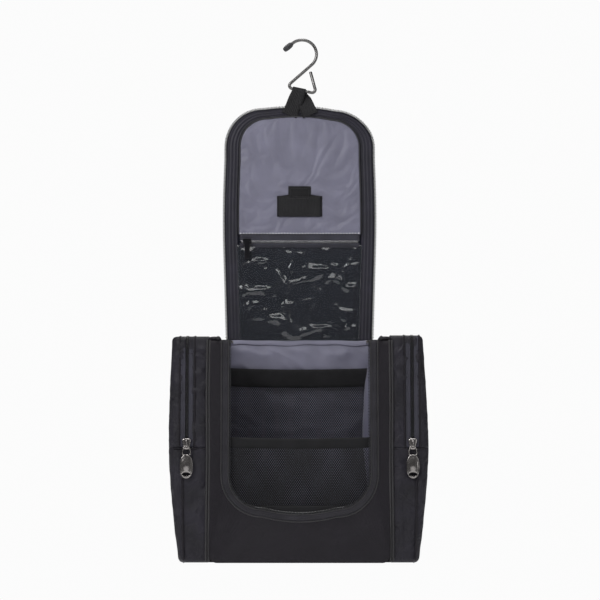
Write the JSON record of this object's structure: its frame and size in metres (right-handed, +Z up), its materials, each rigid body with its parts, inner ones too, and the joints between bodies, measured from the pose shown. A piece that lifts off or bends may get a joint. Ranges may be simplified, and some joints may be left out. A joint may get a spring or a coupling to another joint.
{
  "type": "hanging toiletry bag",
  "caption": "Hanging toiletry bag: zipped lid that folds up, swivelling wire hook, clear lid pocket, mesh walls and zipped side pockets",
  "frame": {"origin": "inner top of the hook's bow, where a rail carries it", "axes": "+X to the user's right, +Y towards the wall behind, +Z up; shown hung up with the lid opened upward"},
  "size_m": [0.272, 0.0881, 0.5799],
  "materials": {
    "steel_wire": "bright drawn wire",
    "grip_rubber": "matte ribbed",
    "webbing_black": "woven webbing",
    "shell_black": "matte woven polyester",
    "lining_grey": "thin nylon with a soft sheen",
    "zip_black": "woven zip tape",
    "coil_black": "satin moulded coil",
    "patch_black": "hook and loop",
    "window_clear": "clear glossy soft film",
    "mesh_black": "open diamond net",
    "elastic_black": "ribbed elastic",
    "piping_black": "wrapped cord",
    "slider_metal": "gunmetal plated",
    "pull_metal": "gunmetal plated, smooth"
  },
  "bodies": {
    "hook": {"hook_wire": "steel_wire", "hook_tip": "grip_rubber"},
    "hanging_loop": {"hanging_loop": "webbing_black"},
    "lid_front": {"lid_front_shell": "shell_black", "lid_front_tape": "zip_black", "lid_front_coil": "coil_black", "lid_front_lining": "lining_grey", "pocket_backing_front": "shell_black", "strap_ends": "webbing_black", "hook_loop_patch": "patch_black", "pocket_zip_tape": "zip_black", "pocket_zip_coil": "coil_black", "clear_window_front": "window_clear"},
    "keeper": {"keeper_tab": "webbing_black"},
    "pocket_slider": {"pocket_slider": "slider_metal"},
    "pocket_pull": {"pocket_pull": "pull_metal"},
    "lid_top": {"lid_top_shell": "shell_black", "lid_top_tape": "zip_black", "pocket_backing_top": "shell_black", "lid_top_coil_left": "coil_black", "lid_top_coil_right": "coil_black", "clear_window_top": "window_clear"},
    "body": {"back_panel": "shell_black", "bottom_panel": "shell_black", "back_lining": "lining_grey", "hinge_binding": "lining_grey", "side_wall_left": "shell_black", "side_wall_right": "shell_black", "front_panel": "shell_black", "main_zip_tape": "zip_black", "main_zip_coil": "coil_black", "piping_left": "piping_black", "piping_right": "piping_black", "front_mesh_band": "elastic_black", "front_mesh": "mesh_black", "front_mesh_hem": "elastic_black", "back_mesh_band": "elastic_black", "back_mesh": "mesh_black", "side_pocket_left": "shell_black", "side_pocket_right": "shell_black", "side_strip_left": "shell_black", "side_strip_right": "shell_black", "side_coil_left": "coil_black", "side_coil_right": "coil_black"},
    "flap_left": {"side_flap_left": "shell_black"},
    "side_slider_left": {"side_slider_left": "slider_metal"},
    "link_left": {"pull_link_left": "pull_metal"},
    "pull_left": {"pull_tab_left": "pull_metal"},
    "main_slider_left": {"main_slider_left": "slider_metal"},
    "main_pull_left": {"main_pull_left": "pull_metal"},
    "flap_right": {"side_flap_right": "shell_black"},
    "side_slider_right": {"side_slider_right": "slider_metal"},
    "link_right": {"pull_link_right": "pull_metal"},
    "pull_right": {"pull_tab_right": "pull_metal"},
    "main_slider_right": {"main_slider_right": "slider_metal"},
    "main_pull_right": {"main_pull_right": "pull_metal"}
  },
  "joints": [
    {"name": "hook_swing", "type": "hinge", "parent": "hook", "child": "hanging_loop", "pos_m": [-0.0026, 0, -0.05575], "axis": [-0.9785, 0, 0.2062], "range_deg": [-80, 25]},
    {"name": "loop_fold", "type": "hinge", "parent": "hanging_loop", "child": "lid_front", "pos_m": [-0.0026, -0.0045, -0.076], "axis": [1, 0, 0], "range_deg": [-175, 25]},
    {"name": "lid_fold", "type": "hinge", "parent": "lid_front", "child": "lid_top", "pos_m": [-0.0026, -0.0023, -0.2595], "axis": [-1, 0, 0], "range_deg": [0, 89.5]},
    {"name": "lid_hinge", "type": "hinge", "parent": "lid_top", "child": "body", "pos_m": [-0.0026, -0.0023, -0.3395], "axis": [-1, 0, 0], "range_deg": [0, 90]},
    {"name": "keeper_flip", "type": "hinge", "parent": "lid_front", "child": "keeper", "pos_m": [-0.0026, -0.00405, -0.1653], "axis": [1, 0, 0], "range_deg": [-150, 0]},
    {"name": "pocket_slide", "type": "slide", "parent": "lid_front", "child": "pocket_slider", "axis": [1, 0, 0], "range_m": [0, 0.116]},
    {"name": "pocket_pull_swing", "type": "hinge", "parent": "pocket_slider", "child": "pocket_pull", "pos_m": [-0.0606, -0.0084, -0.2275], "axis": [-1, 0, 0], "range_deg": [0, 150]},
    {"name": "flap_left_open", "type": "hinge", "parent": "body", "child": "flap_left", "pos_m": [-0.1389, -0.0787, -0.457], "axis": [0, -1, 0], "range_deg": [0, 75]},
    {"name": "side_zip_left", "type": "slide", "parent": "body", "child": "side_slider_left", "axis": [0, 0, 1], "range_m": [0, 0.095]},
    {"name": "link_left_swing", "type": "hinge", "parent": "side_slider_left", "child": "link_left", "pos_m": [-0.1215, -0.08264, -0.45485], "axis": [-1, 0, 0], "range_deg": [0, 150]},
    {"name": "pull_left_swing", "type": "hinge", "parent": "link_left", "child": "pull_left", "pos_m": [-0.1215, -0.08264, -0.46485], "axis": [1, 0, 0], "range_deg": [-120, 0]},
    {"name": "main_zip_left", "type": "slide", "parent": "body", "child": "main_slider_left", "axis": [0, -1, 0], "range_m": [0, 0.041]},
    {"name": "main_pull_left_swing", "type": "hinge", "parent": "main_slider_left", "child": "main_pull_left", "pos_m": [-0.0785, -0.0253, -0.3411], "axis": [-1, 0, 0], "range_deg": [-120, 0]},
    {"name": "flap_right_open", "type": "hinge", "parent": "body", "child": "flap_right", "pos_m": [0.1337, -0.0787, -0.457], "axis": [0, 1, 0], "range_deg": [0, 75]},
    {"name": "side_zip_right", "type": "slide", "parent": "body", "child": "side_slider_right", "axis": [0, 0, 1], "range_m": [0, 0.095]},
    {"name": "link_right_swing", "type": "hinge", "parent": "side_slider_right", "child": "link_right", "pos_m": [0.1163, -0.08264, -0.45485], "axis": [-1, 0, 0], "range_deg": [0, 150]},
    {"name": "pull_right_swing", "type": "hinge", "parent": "link_right", "child": "pull_right", "pos_m": [0.1163, -0.08264, -0.46485], "axis": [1, 0, 0], "range_deg": [-120, 0]},
    {"name": "main_zip_right", "type": "slide", "parent": "body", "child": "main_slider_right", "axis": [0, -1, 0], "range_m": [0, 0.041]},
    {"name": "main_pull_right_swing", "type": "hinge", "parent": "main_slider_right", "child": "main_pull_right", "pos_m": [0.0733, -0.0253, -0.3411], "axis": [-1, 0, 0], "range_deg": [-120, 0]}
  ]
}
